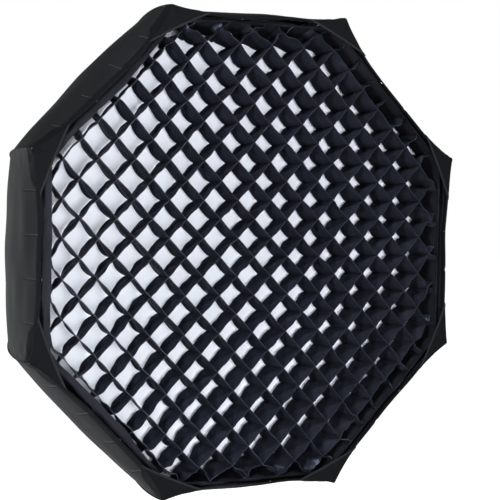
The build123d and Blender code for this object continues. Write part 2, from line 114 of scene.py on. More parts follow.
def make_camera():
    """The photograph's view: from the front left, a little above the axis, aimed at the lip's middle."""
    yaw = math.radians(CAMERA_YAW)
    pitch = math.radians(CAMERA_PITCH)
    back = Vector((-math.sin(yaw) * math.cos(pitch), -math.cos(yaw) * math.cos(pitch), math.sin(pitch)))
    right = (-back).cross(Vector((0, 0, 1))).normalized()
    up = back.cross(right)
    roll = math.radians(CAMERA_ROLL)
    tilted_right = right * math.cos(roll) + up * math.sin(roll)
    tilted_up = up * math.cos(roll) - right * math.sin(roll)
    data = bpy.data.cameras.new("camera")
    data.lens = CAMERA_LENS
    data.sensor_width = 36.0
    data.shift_x, data.shift_y = CAMERA_SHIFT
    data.clip_end = 100.0
    camera = bpy.data.objects.new("camera", data)
    place = Vector((0, -LIP_DEPTH, 0)) + back * CAMERA_DISTANCE
    turn = Matrix((tilted_right, tilted_up, back)).transposed().to_4x4()
    camera.matrix_world = Matrix.Translation(place) @ turn
    bpy.context.scene.collection.objects.link(camera)
    bpy.context.scene.camera = camera


# ---------------------------------------------------------------- node helpers for materials
class Nodes:
    """Short way to build one material."""

    def __init__(self, name):
        self.material = bpy.data.materials.new(name)
        self.material.use_nodes = True
        self.tree = self.material.node_tree
        self.tree.nodes.clear()
        self.shader = self.add("ShaderNodeBsdfPrincipled")
        out = self.add("ShaderNodeOutputMaterial")
        self.join(self.shader, "BSDF", out, "Surface")

    def add(self, kind, **values):
        node = self.tree.nodes.new(kind)
        for key, value in values.items():
            if hasattr(node, key):
                setattr(node, key, value)
            else:
                node.inputs[key.replace("_", " ").title()].default_value = value
        return node

    def join(self, a, out, b, into):
        self.tree.links.new(a.outputs[out], b.inputs[into])

    def coordinates(self, kind="UV"):
        return self.add("ShaderNodeTexCoord"), kind

    def noise(self, where, scale, detail=3.0, rough=0.5):
        node = self.add("ShaderNodeTexNoise")
        node.inputs["Scale"].default_value = scale
        node.inputs["Detail"].default_value = detail
        node.inputs["Roughness"].default_value = rough
        self.join(where[0], where[1], node, "Vector")
        return node

    def bands(self, where, period, direction):
        """Bands a period apart in metres; Blender's wave has a period of 0.314159 at scale 1."""
        node = self.add("ShaderNodeTexWave", wave_type="BANDS", bands_direction=direction)
        node.inputs["Scale"].default_value = 0.314159 / period
        self.join(where[0], where[1], node, "Vector")
        return node

    def math(self, kind, *values):
        node = self.add("ShaderNodeMath", operation=kind)
        for value, socket in zip(values, node.inputs):
            if isinstance(value, (int, float)):
                socket.default_value = value
            else:
                self.tree.links.new(value, socket)
        return node.outputs[0]

    def ramp(self, factor, stops):
        node = self.add("ShaderNodeValToRGB")
        ramp = node.color_ramp
        while len(ramp.elements) < len(stops):
            ramp.elements.new(0.5)
        for element, (place, colour) in zip(ramp.elements, stops):
            element.position = place
            element.color = (*colour, 1)
        self.tree.links.new(factor, node.inputs["Fac"])
        return node

    def bump(self, height, strength, distance, below=None):
        node = self.add("ShaderNodeBump")
        node.inputs["Strength"].default_value = strength
        node.inputs["Distance"].default_value = distance
        self.tree.links.new(height, node.inputs["Height"])
        if below is not None:
            self.join(below, "Normal", node, "Normal")
        self.join(node, "Normal", self.shader, "Normal")
        return node

    def vary_roughness(self, texture, middle, reach):
        value = self.math("MULTIPLY_ADD", texture.outputs["Fac"], 2 * reach, middle - reach)
        self.tree.links.new(value, self.shader.inputs["Roughness"])

    def set(self, **values):
        for key, value in values.items():
            self.shader.inputs[key.replace("_", " ")].default_value = value


def tint(colour, share):
    return tuple(c * share for c in colour)


def weave(name, colour, rough, thread=0.0007, depth=0.00012, spread=0.25, crumple=0.0, spec=0.3):
    """Woven cloth on meshes whose UVs are in metres; crumple is the height of its small creases."""
    n = Nodes(name)
    uv = n.coordinates()
    warp = n.bands(uv, thread, "X")
    weft = n.bands(uv, thread * 1.1, "Y")
    threads = n.math("MAXIMUM", warp.outputs["Fac"], weft.outputs["Fac"])
    patches = n.noise(uv, 14.0, 4.0, 0.55)
    grain = n.noise(uv, 900.0, 2.0)
    shade = n.math("MULTIPLY_ADD", grain.outputs["Fac"], 0.35, patches.outputs["Fac"])
    low, high = tint(colour, 1 - spread), tint(colour, 1 + spread)
    ramp = n.ramp(shade, [(0.35, low), (0.85, high)])
    n.join(ramp, "Color", n.shader, "Base Color")
    n.vary_roughness(patches, rough, 0.08)
    fine = n.bump(threads, 0.6, depth)
    if crumple:
        wide = n.noise(uv, 60.0, 5.0, 0.6)
        n.bump(wide.outputs["Fac"], 0.5, crumple, fine)
    n.set(Specular_IOR_Level=spec)
    return n


def solid_finish(name, colour, rough, metallic=0.0, spread=0.15, grain=0.00004, scale=400.0):
    """Moulded or metal surface on CAD nodes, from object coordinates."""
    n = Nodes(name)
    where = n.coordinates("Object")
    patches = n.noise(where, 35.0, 4.0, 0.6)
    fine = n.noise(where, scale, 3.0, 0.6)
    low, high = tint(colour, 1 - spread), tint(colour, 1 + spread)
    ramp = n.ramp(patches.outputs["Fac"], [(0.3, low), (0.7, high)])
    n.join(ramp, "Color", n.shader, "Base Color")
    n.vary_roughness(fine, rough, 0.1)
    n.bump(fine.outputs["Fac"], 0.6, grain)
    n.set(Metallic=metallic)
    return n.material


def satin(name, colour, rough, metallic, edge, **weave_values):
    """Black satin: a metallic share with a dark edge, so it doesn't mirror the diffuser at a slant."""
    n = weave(name, colour, rough, thread=0.0006, spec=0.0, **weave_values)
    n.set(Metallic=metallic, Specular_Tint=(edge, edge, edge, 1))
    return n.material


def make_materials():
    m = {}
    m["shell"] = weave("shell_cloth", (0.0028, 0.0031, 0.0032), 0.68, crumple=0.0008, spec=0.06).material
    lining = weave("silver_lining", (0.72, 0.73, 0.74), 0.36, thread=0.0012, spread=0.08,
                   crumple=0.0012, spec=0.6)
    lining.set(Metallic=0.85)
    m["lining"] = lining.material
    m["gusset"] = weave("gusset_cloth", (0.0013, 0.0013, 0.0016), 0.8, thread=0.0011,
                        depth=0.0002, spec=0.04).material
    m["binding"] = weave("binding_tape", (0.0034, 0.0036, 0.0040), 0.75, thread=0.0014,
                         depth=0.0002, spec=0.08).material
    m["grid"] = satin("grid_cloth", (0.0185, 0.0202, 0.0268), 0.32, 0.72, 0.35, spread=0.3, crumple=0.0022)
    # The border band is the grid's satin made darker: painted shade for the shadowed gap between the lip and
    # the grid.
    m["band"] = satin("band_satin_painted_shade", (0.0080, 0.0080, 0.0100), 0.36, 0.5, 0.25, crumple=0.0008)
    m["diffuser"] = weave("diffuser_cloth", (0.70, 0.72, 0.77), 0.8, thread=0.0009, spread=0.02,
                          crumple=0.0008, spec=0.08).material
    m["hem"] = weave("hem_tape", (0.7, 0.71, 0.74), 0.75, thread=0.0012, depth=0.0002).material
    m["tape"] = weave("loop_tape", (0.0045, 0.0045, 0.0055), 0.95, thread=0.0009,
                      depth=0.0004, spec=0.04).material
    m["elastic"] = weave("elastic_band", (0.014, 0.014, 0.015), 0.8, thread=0.0016, depth=0.0003).material
    m["thread"] = solid_finish("sewing_thread", (0.03, 0.032, 0.035), 0.6)
    m["cast"] = solid_finish("speedring_coat", (0.022, 0.022, 0.024), 0.45, grain=0.00006, scale=900.0)
    m["insert"] = solid_finish("insert_plate", (0.56, 0.57, 0.59), 0.34, metallic=1.0, spread=0.06)
    m["steel"] = solid_finish("bright_zinc", (0.60, 0.61, 0.64), 0.28, metallic=1.0, spread=0.08)
    m["socket"] = solid_finish("socket_alloy", (0.46, 0.47, 0.49), 0.4, metallic=1.0, spread=0.08)
    m["rod"] = solid_finish("rod_coat", (0.03, 0.03, 0.032), 0.35, spread=0.2)
    m["plastic"] = solid_finish("moulded_plastic", (0.02, 0.02, 0.021), 0.5, scale=700.0)
    m["nylon"] = solid_finish("natural_nylon", (0.74, 0.71, 0.64), 0.45, spread=0.05)
    return m


# ---------------------------------------------------------------- mesh helpers
SHARP_ANGLE = 50


class Cloth:
    """Collects thin closed sheets, each from a net of points on its middle surface."""

    def __init__(self):
        self.points = []
        self.faces = []
        self.uvs = []
        self.slots = []

    def face(self, corners, uvs, slot):
        self.faces.append(corners)
        self.uvs += uvs
        self.slots.append(slot)

    def sheet(self, net, thick, front=0, back=0, closed=False, uv=None):
        """A sheet round the points net[i][j]; thick and front may be functions of the row i.

        A closed net joins its last column to its first.
        """
        rows, columns = len(net), len(net[0])
        normals = net_normals(net, closed)
        thickness = thick if callable(thick) else (lambda i: thick)
        front_slot = front if callable(front) else (lambda i: front)
        base = len(self.points)
        for side in (0.5, -0.5):
            for i in range(rows):
                for j in range(columns):
                    self.points.append(net[i][j] + normals[i][j] * (side * thickness(i)))
        uv = uv or net_uvs(net)
        count = rows * columns

        def spot(layer, i, j):
            return base + layer * count + i * columns + j % columns

        wide = columns if closed else columns - 1
        for i in range(rows - 1):
            for j in range(wide):
                ring = [(i, j), (i, j + 1), (i + 1, j + 1), (i + 1, j)]
                coords = [uv[a][b] if b < columns else uv[a][0] for a, b in ring]
                self.face([spot(0, a, b) for a, b in ring], coords, front_slot(i))
                self.face([spot(1, a, b) for a, b in ring[::-1]], coords[::-1], back)
        rim = [((0, j), (0, j + 1)) for j in range(wide)]
        rim += [((rows - 1, j + 1), (rows - 1, j)) for j in range(wide)]
        if not closed:
            rim += [((i + 1, 0), (i, 0)) for i in range(rows - 1)]
            rim += [((i, columns - 1), (i + 1, columns - 1)) for i in range(rows - 1)]
        rim_slot = back if closed else front_slot(0)
        for a, b in rim:
            coords = [uv[p[0]][min(p[1], columns - 1)] for p in (b, a, a, b)]
            self.face([spot(0, *b), spot(0, *a), spot(1, *a), spot(1, *b)], coords, rim_slot)

    def tube(self, line, radius, sides):
        """Round cord along a line of points, with flat ends."""
        base = len(self.points)
        for p, (a, b) in zip(line, line_frames(line)):
            for s in range(sides):
                turn = 2 * math.pi * s / sides
                self.points.append(p + (a * math.cos(turn) + b * math.sin(turn)) * radius)
        wide = radius * 2 * math.pi / sides
        along = running_length(line)
        for k in range(len(line) - 1):
            near, far = base + k * sides, base + (k + 1) * sides
            for s in range(sides):
                t = (s + 1) % sides
                left, right = s * wide, (s + 1) * wide
                coords = [(left, along[k]), (right, along[k]), (right, along[k + 1]), (left, along[k + 1])]
                self.face([near + s, near + t, far + t, far + s], coords, 0)
        first = [base + s for s in range(sides)][::-1]
        last = [base + (len(line) - 1) * sides + s for s in range(sides)]
        for cap in (first, last):
            self.face(cap, [(0, 0)] * sides, 0)

    def make(self, name, materials):
        mesh = bpy.data.meshes.new(name)
        mesh.from_pydata([tuple(p) for p in self.points], [], self.faces)
        layer = mesh.uv_layers.new(name="UVMap")
        flat = [x for pair in self.uvs for x in pair]
        layer.data.foreach_set("uv", flat)
        for material in materials:
            mesh.materials.append(material)
        mesh.polygons.foreach_set("material_index", self.slots)
        mesh.polygons.foreach_set("use_smooth", [True] * len(self.faces))
        mesh.update()
        thing = bpy.data.objects.new(name, mesh)
        bpy.context.scene.collection.objects.link(thing)
        mesh.set_sharp_from_angle(angle=math.radians(SHARP_ANGLE))
        return thing


def net_normals(net, closed):
    rows, columns = len(net), len(net[0])
    out = []
    for i in range(rows):
        line = []
        for j in range(columns):
            down = net[min(i + 1, rows - 1)][j] - net[max(i - 1, 0)][j]
            if closed:
                along = net[i][(j + 1) % columns] - net[i][(j - 1) % columns]
            else:
                along = net[i][min(j + 1, columns - 1)] - net[i][max(j - 1, 0)]
            normal = down.cross(along)
            line.append(normal.normalized() if normal.length > 1e-12 else Vector((0, -1, 0)))
        out.append(line)
    return out


def net_uvs(net):
    """Lengths along the net in metres, so that a weave keeps its scale."""
    rows, columns = len(net), len(net[0])
    middle_row = net[rows // 2]
    middle_column = [row[columns // 2] for row in net]
    across = running_length(middle_row)
    down = running_length(middle_column)
    return [[(across[j], down[i]) for j in range(columns)] for i in range(rows)]


def running_length(line):
    out = [0.0]
    for a, b in zip(line, line[1:]):
        out.append(out[-1] + (b - a).length)
    return out


def line_frames(line):
    """Two unit vectors square to the line at each of its points, turned as little as possible."""
    out = []
    side = None
    for k in range(len(line)):
        along = (line[min(k + 1, len(line) - 1)] - line[max(k - 1, 0)]).normalized()
        if side is None:
            side = along.orthogonal().normalized()
        side = (side - along * side.dot(along)).normalized()
        out.append((side, along.cross(side)))
    return out


def lerp(a, b, share):
    return a + (b - a) * share


def smooth_step(x):
    x = max(0.0, min(1.0, x))
    return x * x * (3 - 2 * x)


def rough(x, y, z, scale, seed=0.0):
    """Smooth noise from -1 to 1 with features about scale metres wide."""
    return noise.noise(Vector((x / scale + seed, y / scale - seed, z / scale + 2.7 * seed)))


# ---------------------------------------------------------------- the shell's form
class Bow:
    """Circular arc in a plane through the axis, as the shell's corner seams follow.

    start and end are pairs of radius and depth; end_angle is the arc's slant at its end, in degrees.
    """

    def __init__(self, start, end, end_angle):
        run = end[0] - start[0]
        rise = end[1] - start[1]
        chord = math.atan2(run, rise)
        self.end_angle = math.radians(end_angle)
        self.start_angle = 2 * chord - self.end_angle
        self.reach = math.hypot(run, rise) / (2 * math.sin((self.start_angle - self.end_angle) / 2))
        self.centre_radius = end[0] - self.reach * math.cos(self.end_angle)
        self.centre_depth = end[1] + self.reach * math.sin(self.end_angle)

    def at(self, share, out):
        """Radius and depth at a share of the arc, a distance out from it."""
        angle = lerp(self.start_angle, self.end_angle, share)
        reach = self.reach + out
        return self.centre_radius + reach * math.cos(angle), self.centre_depth - reach * math.sin(angle)

    def length(self):
        return self.reach * (self.start_angle - self.end_angle)


SHELL = Bow(SHELL_START, (LIP_RADIUS, LIP_DEPTH), SHELL_LIP_ANGLE)


def direction(angle):
    a = math.radians(angle)
    return Vector((math.cos(a), 0, math.sin(a)))


def shell_point(angle, across, share, out):
    """Point on one side of the shell, across from -1 to 1 between the seams, share from rear to lip."""
    radius, depth = SHELL.at(share, out)
    back = (1 - share) * SHELL.length()
    swell = PANEL_BULGE * math.exp(-(((back - BULGE_BACK) / BULGE_REACH) ** 2)) * (1 - across ** 2)
    droop = LIP_SAG[round(angle / STEP) % SIDES] * (1 + 0.12 * rough(across, angle, 0, 0.45, 4.0))
    sag = droop * share ** SAG_POWER * (1 - abs(across) ** SAG_ROUNDNESS) - swell
    far = radius * HALF_COS - sag
    side = across * (radius * HALF_SIN - EDGE_GAP)
    p = direction(angle) * far + direction(angle + 90) * side
    p.y = -depth
    return p


def shell_wrinkle(angle, across, share):
    """How far the cloth stands out from its smooth form.

    Each kind of wrinkle has its height in metres first, then the size of its features.
    """
    back = (1 - share) * SHELL.length()
    side = across * LIP_HALF_SIDE
    free = 1 - abs(across) ** 3
    near_lip = smooth_step(1 - back / 0.20)
    near_corner = smooth_step((abs(across) - 0.7) / 0.25) * smooth_step((1 - abs(across)) / 0.04)
    broad = 0.0030 * rough(side, back, angle, 0.09, 1.3) * free
    across_folds = 0.0042 * rough(side * 0.35, back, angle, 0.034, 6.2) * near_lip * free
    creased = 0.0040 * abs(rough(side, back, angle, 0.016, 2.4)) * near_lip * near_corner
    gather = 0.0014 * math.sin(across * 9 + angle) * smooth_step(1 - share * 5)
    return broad + across_folds - creased + gather - stitch_tuck(across, back)


def stitch_tuck(across, back):
    """How far the rows of stitches pull the cloth in."""
    if back >= STITCH_DEPTH:
        return 0.0
    gaps = [(across - place) * LIP_HALF_SIDE for place in STITCH_PLACES]
    fade = smooth_step((STITCH_DEPTH - back) / 0.006)
    return sum(0.0018 * math.exp(-((gap / 0.0014) ** 2)) * fade for gap in gaps)


def even_places(count, span=1.0):
    """Places across a side, from -span to span."""
    return [span * (2 * j / (count - 1) - 1) for j in range(count)]


def creased_places():
    """Places across a panel, closer together at the stitched creases."""
    clear = max(CREASE_STEPS) + 0.0005
    near = {place + step / LIP_HALF_SIDE for place in STITCH_PLACES for step in CREASE_STEPS}
    kept = {p for p in even_places(PANEL_COLUMNS)
            if all(abs(p - q) * LIP_HALF_SIDE > clear for q in STITCH_PLACES)}
    return sorted(kept | near)


def cloth_point(angle, across, share, out):
    """Point a distance out from the wrinkled shell."""
    return shell_point(angle, across, share, out + shell_wrinkle(angle, across, share))


def cloth_row(angle, places, share, out):
    return [cloth_point(angle, across, share, out) for across in places]


def panel_net(angle, rows, places, share_a, share_b, out):
    shares = [lerp(share_a, share_b, i / (rows - 1)) for i in range(rows)]
    return [cloth_row(angle, places, share, out) for share in shares]


def panel_uv(net):
    """u across from the panel's middle, v back from the lip, in metres."""
    middle = len(net[0]) // 2
    down = running_length([row[middle] for row in net])
    out = []
    for row, run in zip(net, down):
        across = running_length(row)
        half = across[-1] / 2
        out.append([(a - half, down[-1] - run) for a in across])
    return out


def cut_area(net):
    """Area of a panel's flat cut: straight across each row, along the panel's middle."""
    half = len(net[0]) // 2
    pairs = zip(net, net[1:])
    return sum((a[0] - a[-1]).length * (a[half] - b[half]).length for a, b in pairs)


def make_shell(m):
    """Eight panels, black outside and inside the lip, silver inside behind it."""
    lined_rows = (1 - LIP_FACING / SHELL.length()) * (PANEL_ROWS - 1)
    for k in range(SIDES):
        cloth = Cloth()
        net = panel_net(STEP * k, PANEL_ROWS, creased_places(), 0.0, 1.0, -FABRIC / 2)
        cloth.sheet(net, FABRIC, lambda i: 1 if i < lined_rows else 0, uv=panel_uv(net))
        number = str(k + 1)
        piece = cloth.make("panel_cloth_" + number, [m["shell"], m["lining"]])
        finish_piece(piece, "shell_panel_" + number)
        cut_area(net)


def make_shell_trim(m):
    """Loop tapes sewn inside the lip, cord along the corner seams and stitching."""
    for name, node, far, near in (
        ("grid_tape", "grid_loop_tape", 0.053, 0.017),
        ("diffuser_tape", "diffuser_loop_tape", 0.104, 0.076),
    ):
        cloth = Cloth()
        for k in range(SIDES):
            rear, front = [1 - back / SHELL.length() for back in (far, near)]
            net = panel_net(STEP * k, 9, even_places(SIDE_COLUMNS, 0.82), rear, front, -FABRIC - 0.0012)
            cloth.sheet(net, TAPE_THICK)
        piece = cloth.make(name, [m["tape"]])
        finish_piece(piece, node)
    cord = Cloth()
    for k in range(SIDES):
        shares = [lerp(0.005, 0.992, i / 60) for i in range(61)]
        cord.tube([seam_point(HALF_STEP + STEP * k, share, 0.0008) for share in shares], 0.0012, 8)
    piece = cord.make("corner_cord", [m["binding"]])
    finish_piece(piece, "seam_piping")
    make_stitching(m)


def seam_point(angle, share, out):
    """Point on a corner seam, a distance out from it."""
    radius, depth = SHELL.at(share, out)
    p = direction(angle) * radius
    p.y = -depth
    return p


def make_stitching(m):
    """Short rows of stitches that hold the grid's loop tape, seen on the outside of each side."""
    first, pitch, stitch = 0.004, 0.004, 0.0028
    thread = Cloth()
    for k in range(SIDES):
        for across in STITCH_PLACES:
            for n in range(STITCHES):
                backs = [first + pitch * n + stitch * step / 3 for step in range(4)]
                line = [cloth_point(STEP * k, across, 1 - back / SHELL.length(), FABRIC * 0.3)
                        for back in backs]
                thread.tube(line, 0.00035, 5)
    piece = thread.make("side_stitches", [m["thread"]])
    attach(piece, "softbox")


def finish_piece(piece, node):
    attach(piece, "softbox")
    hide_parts(node)


# ---------------------------------------------------------------- lip: binding and corner pockets
def make_binding(m):
    """Tape folded over the lip's front edge, one length for each side."""
    cloth = Cloth()
    edge = 0.010
    profile = [(0.0011, edge), (0.0013, 0.004), (0.0010, 0.0004), (0.0, -0.0009), (-0.0012, -0.0005)]
    profile += [(-0.0025, 0.0006), (-0.0027, 0.004), (-0.0025, edge)]
    places = even_places(SIDE_COLUMNS, 0.99)
    for k in range(SIDES):
        net = [cloth_row(STEP * k, places, 1 - back / SHELL.length(), out) for out, back in profile]
        cloth.sheet(net, TRIM_THICK)
    piece = cloth.make("lip_edge_tape", [m["gusset"]])
    finish_piece(piece, "lip_binding")


def gusset_leg(flat, end, t):
    """Point on the lip at a share t of the pocket's leg from its corner."""
    reach = GUSSET_LEG / LIP_HALF_SIDE
    return shell_point(flat, end * (1.004 - reach * t), 1, 0.0008)


def gusset_point(angle, t, s, lift):
    """Point of a corner pocket: t from the corner to the inner edge, s from one leg to the other."""
    leg_a = gusset_leg(angle - HALF_STEP, 1, t)
    leg_b = gusset_leg(angle + HALF_STEP, -1, t)
    p = leg_a.lerp(leg_b, s) + direction(angle) * (0.002 * t * math.sin(math.pi * s))
    over_tip = math.exp(-((s - 0.5) / 0.12) ** 2) * smooth_step(1 - t / 0.6) * smooth_step(t / 0.08)
    wave = 0.0012 * rough(p.x, p.z, angle, 0.03, 8.8) * t
    p.y = -(GUSSET_DEPTH + 0.0008 + 0.0030 * over_tip + wave + lift)
    return p


def make_gussets(m):
    """Eight corner pockets, with the rod's tip showing through each as a low bulge."""
    rows = 26
    reaches = [lerp(0.015, 1.0, i / (rows - 1)) for i in range(rows)]
    for k in range(SIDES):
        angle = HALF_STEP + STEP * k
        cloth = Cloth()
        cloth.sheet([gusset_row(angle, t, 0.0) for t in reaches], TAPE_THICK)
        gusset_hem(cloth, angle)
        piece = cloth.make("pocket_cloth_" + str(k + 1), [m["gusset"], m["binding"]])
        finish_piece(piece, "corner_gusset_" + str(k + 1))
    make_flaps(m)


def gusset_row(angle, t, lift):
    return [gusset_point(angle, t, j / 32, lift) for j in range(33)]


def gusset_hem(cloth, angle):
    """Folded edge along the pocket's inner side."""
    lifts = {0.90: 0.0013, 0.93: 0.0013, 0.97: 0.0013, 1.0: 0.0013, 1.01: 0.0006}
    cloth.sheet([gusset_row(angle, t, lift) for t, lift in lifts.items()], TRIM_THICK, 1, 1)


def make_flaps(m):
    """Pocket cloth turned back over the outside of the lip beside each corner."""
    cloth = Cloth()
    for k in range(SIDES):
        angle = STEP * k
        for end in (-1, 1):
            net = []
            for i in range(9):
                back = lerp(0.0, FLAP_WIDTH, i / 8)
                row = []
                for j in range(15):
                    reach = lerp(0.0, 0.43, j / 14) * (1 - 0.35 * i / 8)
                    across = end * (0.997 - reach)
                    out = 0.0016 + 0.0005 * rough(across, back * 20, angle, 0.2, 2.2)
                    row.append(cloth_point(angle, across, 1 - back / SHELL.length(), out))
                net.append(row if end < 0 else row[::-1])
            cloth.sheet(net, 0.0009)
    piece = cloth.make("pocket_flaps", [m["gusset"]])
    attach(piece, "softbox")


# ---------------------------------------------------------------- honeycomb grid
def strip_places(first):
    """Distances of one set's strips from the middle, when one of them lies at first."""
    pitch = CELL_DIAGONAL / math.sqrt(2)
    reach = GRID_APOTHEM - STRIP_END_GAP
    low = math.ceil((-reach - first) / pitch)
    high = math.floor((reach - first) / pitch)
    return [first + pitch * i for i in range(low, high + 1)]


def rising_places():
    return strip_places((GRID_SHIFT_Z - GRID_SHIFT_X - CELL_DIAGONAL / 2) / math.sqrt(2))


def falling_places():
    return strip_places((GRID_SHIFT_Z + GRID_SHIFT_X - CELL_DIAGONAL / 2) / math.sqrt(2))


def half_chord(place):
    """Half the length of the strip at this distance from the middle."""
    return min(GRID_INNER, GRID_INNER * math.sqrt(2) - abs(place))


def heading(p):
    """The point's direction from the middle, as its shares along X and Z."""
    far = max(p.length, 0.01)
    return p.x / far, p.z / far


def leftward(p):
    """1 at the left side of the border, fading to 0 above and below it."""
    return smooth_step((-heading(p)[0] - 0.1) / 0.6)


def border_pull(p, deep):
    """Share of its way to the middle by which the border is drawn in, at the front and at the rear."""
    along_x, along_z = heading(p)
    rightward = smooth_step((along_x - 0.5) / 0.45)
    upward = smooth_step((along_z - 0.6) / 0.3)
    front = lerp(-0.004, 0.020, leftward(p))
    rear = lerp(lerp(0.046, 0.078, upward), 0.012, rightward)
    return lerp(front, rear, deep)


def drift(p, deep):
    """Slack that both sets of strips share; deep runs from 0 at the front edges to 1 at the rear."""
    far = (p.x ** 2 + p.z ** 2) / GRID_APOTHEM ** 2
    middle = math.exp(-(p.x / 0.14) ** 2 - (p.z / 0.24) ** 2)
    lean = 0.010 + 0.034 * smooth_step((0.15 - p.x) / 0.4)
    pull_x = 0.012 * math.exp(-((p.x - 0.16) / 0.2) ** 2 - ((p.z + 0.08) / 0.22) ** 2)
    pull_z = 0.020 * p.z * (1 + abs(p.z) / GRID_APOTHEM)
    x = 0.0022 * rough(p.x, p.z, 0, 0.13, 5.5) - lean * p.x * deep + pull_x + 0.004 * deep * middle
    z = 0.0018 * rough(p.x, p.z, 3, 0.12, 7.5) - 0.016 * p.z * deep - 0.0012 * (1 - far) * deep + pull_z
    edge = octagon_share(p)
    ease = lerp(smooth_step((1 - edge) / 0.12), 1.0, 0.8 * deep)
    inward = border_pull(p, deep) * smooth_step((edge - 0.88) / 0.12)
    return Vector((x, 0.0, z)) * ease - Vector((p.x, 0.0, p.z)) * inward


def crumple(p, deep, turn):
    """Folds in the strips' loose ends, between the last crossing and the border."""
    end = smooth_step((octagon_share(p) - 0.90) / 0.08)
    aside = 0.013 * rough(p.x, p.z, deep * 0.03, 0.020, 1.0 + turn) * (1 - 0.5 * deep)
    back = (0.004 + 0.009 * rough(p.x, p.z, 0, 0.03, 2.0 + turn)) * (1 - deep)
    return direction(turn + 90) * (aside * end) + Vector((0, back * end, 0))


def octagon_share(p):
    """1 on the octagon that the strips end at, less inside it."""
    far = max(p.dot(direction(STEP * k)) for k in range(SIDES))
    return far / GRID_INNER


def bulge_shape(s, turn, right):
    """Bulge at a share s of a wall; a falling wall at the right is fullest near its lower end."""
    if not 0 < s < 1:
        return 0.0
    low, high = (1.1, 0.75)
    if turn == FALLING:
        low, high = lerp(1.3, 1.9, right), lerp(0.75, 0.42, right)
    return 2.1 * s ** low * (1 - s) ** high


def fullness(p):
    """How much a wall at this place bulges: least in the middle, most at the left and the bottom."""
    middle = math.exp(-(p.x / 0.18) ** 2 - (p.z / 0.26) ** 2)
    low = smooth_step((-0.1 - p.z + 0.4 * p.x) / 0.25)
    return 2.0 - 1.1 * middle - 0.3 * smooth_step(p.x / 0.3) + 0.9 * low


def strip_stations(place, crossings, turn, chance):
    """Points along a strip: distance, share of its wall, the wall's bulge and how the bulge leans."""
    half = half_chord(place)
    stops = [-half] + [c for c in sorted(crossings) if abs(c) < half - 0.002] + [half]
    stations = []
    for a, b in zip(stops, stops[1:]):
        full = (b - a) / CELL_SIDE
        count = max(3, round(CELL_STEPS * full))
        size = (0.0034 + 0.0024 * chance.random()) * full * (1.1 if turn == FALLING else 0.95)
        lean = chance.uniform(-0.15, 0.15)
        for k in range(count):
            share = 1 - (1 - k / count) ** 1.35
            stations.append((lerp(a, b, share), share, size, lean))
    stations.append((half, 1.0, 0.0, 0.0))
    return stations


def strip_net(place, crossings, turn, chance):
    """One strip, bulging between its crossings and most of all at the rear."""
    run, square = direction(turn), direction(turn + 90)
    side = -1 if turn == FALLING else 1
    stations = strip_stations(place, crossings, turn, chance)
    net = []
    for level in range(STRIP_LEVELS):
        deep = level / (STRIP_LEVELS - 1)
        row = []
        for q, s, size, lean in stations:
            p = run * q + square * place
            right = smooth_step((p.x + 0.2 - 0.3 * p.z) / 0.4)
            swell = deep ** 1.25 * (1 + lean * math.sin(math.pi * deep))
            bulge = size * fullness(p) * swell * bulge_shape(s, turn, right)
            between = math.sin(math.pi * s)
            ripple = 0.0038 * rough(p.x + 0.4 * p.z, 0.05 * deep, turn, 0.019, 6.6) * between
            p = p + square * (side * bulge + ripple) + drift(p, deep)
            wave = 0.0008 * between * rough(p.x, p.z, deep, 0.04, 3.3)
            p.y = -(GRID_FRONT - GRID_DEPTH * deep) + wave
            row.append(p + crumple(p, deep, turn))
        net.append(row)
    return net


def strip_thick(level):
    """Hemmed along the rear edge."""
    return STRIP_HEM_THICK if level == STRIP_LEVELS - 1 else STRIP_THICK


def make_grid(m):
    """Two sets of strips, which cross at right angles."""
    chance = random.Random(11)
    rising, falling = rising_places(), falling_places()
    for name, node, places, crossings, turn in (
        ("grid_walls_rising", "grid_strips_rising", rising, falling, RISING),
        ("grid_walls_falling", "grid_strips_falling", falling, [-p for p in rising], FALLING),
    ):
        cloth = Cloth()
        for place in places:
            cloth.sheet(strip_net(place, crossings, turn, chance), strip_thick)
        piece = cloth.make(name, [m["grid"]])
        finish_piece(piece, node)


def octagon_point(share, apothem):
    """Point on an octagon, share from 0 to 1 round it from a corner, and its side's outward direction."""
    place = share * SIDES
    k = int(place) % SIDES
    corner = apothem / HALF_COS
    a = direction(STEP * k - HALF_STEP) * corner
    b = direction(STEP * k + HALF_STEP) * corner
    return a.lerp(b, place - int(place)), direction(STEP * k)


def turned_over(p, out, share, reach):
    """Front hem of the grid's border, which lies over the strips' ends on the side away from the strain."""
    width = 0.004 + 0.010 * leftward(p) * (1 + 0.45 * rough(share * 50, 0, 2, 1.0, 3.1))
    edge = p + drift(p, 0.0) - out * (width * reach)
    lift = 0.0022 + 0.004 * abs(rough(share * 70, reach * 0.5, 1, 1.0, 5.7)) * reach
    edge.y = -(GRID_FRONT - 0.001 + lift)
    return edge


def band_point(p, out, share, deep):
    fold = abs(rough(share * 46, deep * 0.6, 0, 1.0, 6.1)) ** 0.7
    crease = abs(rough(share * 110, deep * 2.0, 5, 1.0, 9.3))
    middle = math.sin(math.pi * (0.1 + 0.8 * deep))
    inward = (0.003 * fold + 0.003 * crease) * (0.25 + 0.75 * middle) - 0.001
    ripple = 0.006 * rough(share * 52, 0, 8, 1.0, 4.4) * (1 - deep)
    steep = 1 - 0.85 * leftward(p)
    place = p + drift(p, deep * steep) - out * inward
    place.y = -(GRID_FRONT - 0.001 - ripple - (GRID_DEPTH - 0.002) * deep)
    return place


